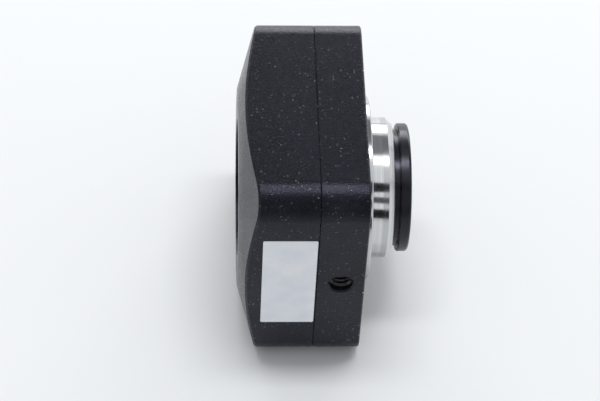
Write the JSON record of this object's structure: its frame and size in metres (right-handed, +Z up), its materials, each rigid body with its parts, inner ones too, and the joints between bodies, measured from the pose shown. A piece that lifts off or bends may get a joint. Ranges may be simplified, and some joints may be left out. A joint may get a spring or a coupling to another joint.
{
  "type": "cooled astronomy camera",
  "caption": "Square cooled astronomy camera with a threaded lens seat and dust cap in front, a sloped back with a fan opening, side ports and a tripod socket.",
  "frame": {"origin": "centre of the seat face that a lens or adapter rests on", "axes": "+X along the optical axis out of the lens opening, +Z up with the camera lying on its -Z side"},
  "size_m": [0.0471, 0.0682, 0.068],
  "materials": {
    "black_anodised": "fine bead-blasted black anodising",
    "turned_aluminium": "bright turned",
    "heat_sink_aluminium": "extruded, clear anodised",
    "seal_rubber": "moulded, dull",
    "black_screw": "black oxide",
    "steel_screw": "plain steel",
    "label_film": "satin film, blank",
    "optical_glass": "coated optical glass",
    "ceramic": "fired ceramic",
    "silicon": "polished silicon",
    "circuit_board": "solder mask",
    "desiccant": "pressed tablet",
    "copper": "machined copper",
    "foam": "closed-cell foam",
    "lead_red": "wire insulation",
    "socket_plastic": "moulded",
    "socket_shell": "plated sheet steel",
    "usb_blue": "moulded",
    "contact_metal": "gold plated",
    "nylon": "natural nylon",
    "light_pipe": "clear moulding",
    "guard_steel": "black coated sheet steel",
    "fan_plastic": "glass-filled moulding",
    "magnet": "bonded ferrite",
    "cap_plastic": "smooth moulding"
  },
  "bodies": {
    "housing": {"front_shell": "black_anodised", "rear_shell": "black_anodised", "shell_gasket": "seal_rubber", "shell_screws": "black_screw", "blank_label": "label_film", "lens_mount_ring": "turned_aluminium", "ring_screws": "steel_screw", "mount_o_ring": "seal_rubber", "window_glass": "optical_glass", "window_o_ring": "seal_rubber", "window_retainer": "black_anodised", "sensor_package": "ceramic", "sensor_die": "silicon", "sensor_cover_glass": "optical_glass", "sensor_board": "circuit_board", "sensor_board_screws": "steel_screw", "chamber_gasket": "seal_rubber", "desiccant_tablet": "desiccant", "cold_finger": "copper", "cooler_cold_plate": "ceramic", "cooler_pellets": "silicon", "cooler_hot_plate": "ceramic", "cooler_foam": "foam", "cooler_leads": "lead_red", "cooler_terminal": "socket_plastic", "heat_sink": "heat_sink_aluminium", "cooler_standoffs": "nylon", "cooler_screws": "steel_screw", "main_board": "circuit_board", "board_screws": "steel_screw", "board_chips": "socket_plastic", "board_link": "socket_plastic", "fan_header": "nylon", "fan_leads": "lead_red", "usb_socket": "socket_shell", "usb_insert": "usb_blue", "guide_socket": "socket_plastic", "guide_contacts": "contact_metal", "power_jack": "socket_plastic", "power_pin": "contact_metal", "status_light_pipe": "light_pipe", "fan_guard": "guard_steel", "fan_frame": "fan_plastic", "fan_stator": "copper", "fan_bearing": "contact_metal", "fan_screws": "black_screw"},
    "fan": {"fan_rotor": "fan_plastic", "fan_magnet": "magnet", "fan_shaft": "steel_screw"},
    "cap": {"dust_cap": "cap_plastic"}
  },
  "joints": [
    {"name": "dust_cap_slide", "type": "slide", "parent": "housing", "child": "cap", "axis": [1, 0, 0], "range_m": [0, 0.03]},
    {"name": "fan_spin", "type": "hinge", "parent": "housing", "child": "fan", "pos_m": [-0.0371, 0, 0], "axis": [1, 0, 0], "continuous": true}
  ]
}
